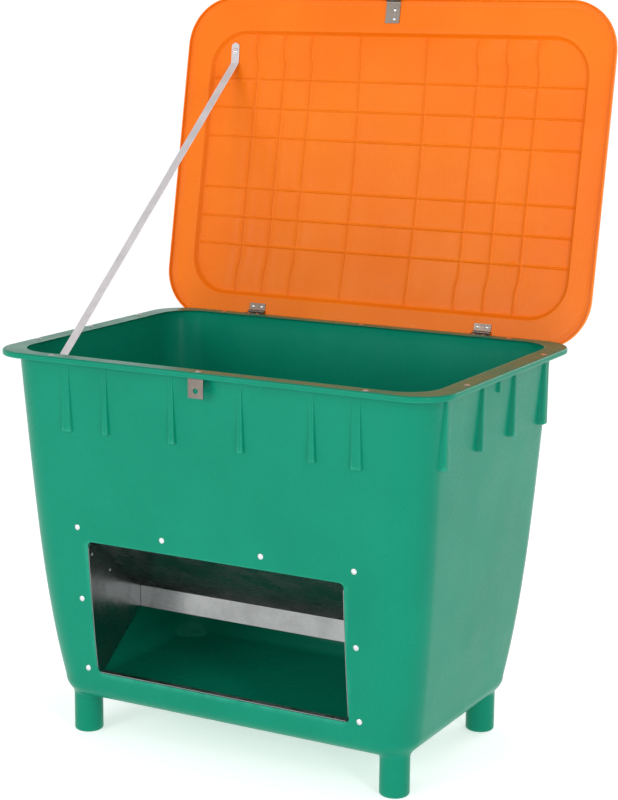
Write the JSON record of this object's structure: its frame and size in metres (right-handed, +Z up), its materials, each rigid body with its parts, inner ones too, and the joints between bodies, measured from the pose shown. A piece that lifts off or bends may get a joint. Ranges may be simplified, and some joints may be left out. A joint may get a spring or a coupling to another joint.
{
  "type": "gravity game feeder",
  "caption": "Moulded tub on hollow legs with a hinged lid, a feeding window with a sheet-metal hood, a stay strap and a padlock hasp.",
  "frame": {"origin": "on the floor, under the middle of the object as it stands with its lid open", "axes": "+Z up, -Y is the front with the feeding window, +X is to the right seen from the front"},
  "size_m": [1.312, 1.0528, 1.9334],
  "materials": {
    "tub_plastic": "satin moulded green, slightly mottled",
    "lid_plastic": "satin moulded orange",
    "strap_webbing": "woven polyester webbing",
    "feed_sheet": "bright plated sheet, lightly scuffed",
    "rim_bar": "plated flat bar",
    "lock_steel": "dull plated steel",
    "hinge_steel": "plated steel, slightly tarnished",
    "fastener_metal": "bare rivet metal"
  },
  "bodies": {
    "root": {"tub": "tub_plastic", "front_rim_strip": "rim_bar", "rear_rim_strip": "rim_bar", "left_rim_strip": "rim_bar", "right_rim_strip": "rim_bar", "rim_rivets": "fastener_metal", "lock_staple": "lock_steel", "feed_hood": "feed_sheet", "left_cheek": "feed_sheet", "right_cheek": "feed_sheet", "sill_strip": "feed_sheet", "window_rivets": "fastener_metal", "cheek_rivets": "fastener_metal", "left_hinge_rim_leaf": "hinge_steel", "right_hinge_rim_leaf": "hinge_steel", "left_hinge_pin": "hinge_steel", "right_hinge_pin": "hinge_steel", "hinge_rim_rivets": "fastener_metal", "strap_tub_washer": "fastener_metal", "strap_tub_screw": "fastener_metal", "strap": "strap_webbing"},
    "lid": {"lid": "lid_plastic", "left_hinge_lid_leaf": "hinge_steel", "right_hinge_lid_leaf": "hinge_steel", "hinge_lid_rivets": "fastener_metal", "hasp_plate": "lock_steel", "hasp_rivets": "fastener_metal", "strap_lid_washer": "fastener_metal", "strap_lid_screw": "fastener_metal"}
  },
  "joints": [
    {"name": "lid_hinge", "type": "hinge", "parent": "root", "child": "lid", "pos_m": [0, 0.3585, 1.0468], "axis": [1, 0, 0], "range_deg": [0, 100.4], "deforming": ["strap"]}
  ]
}
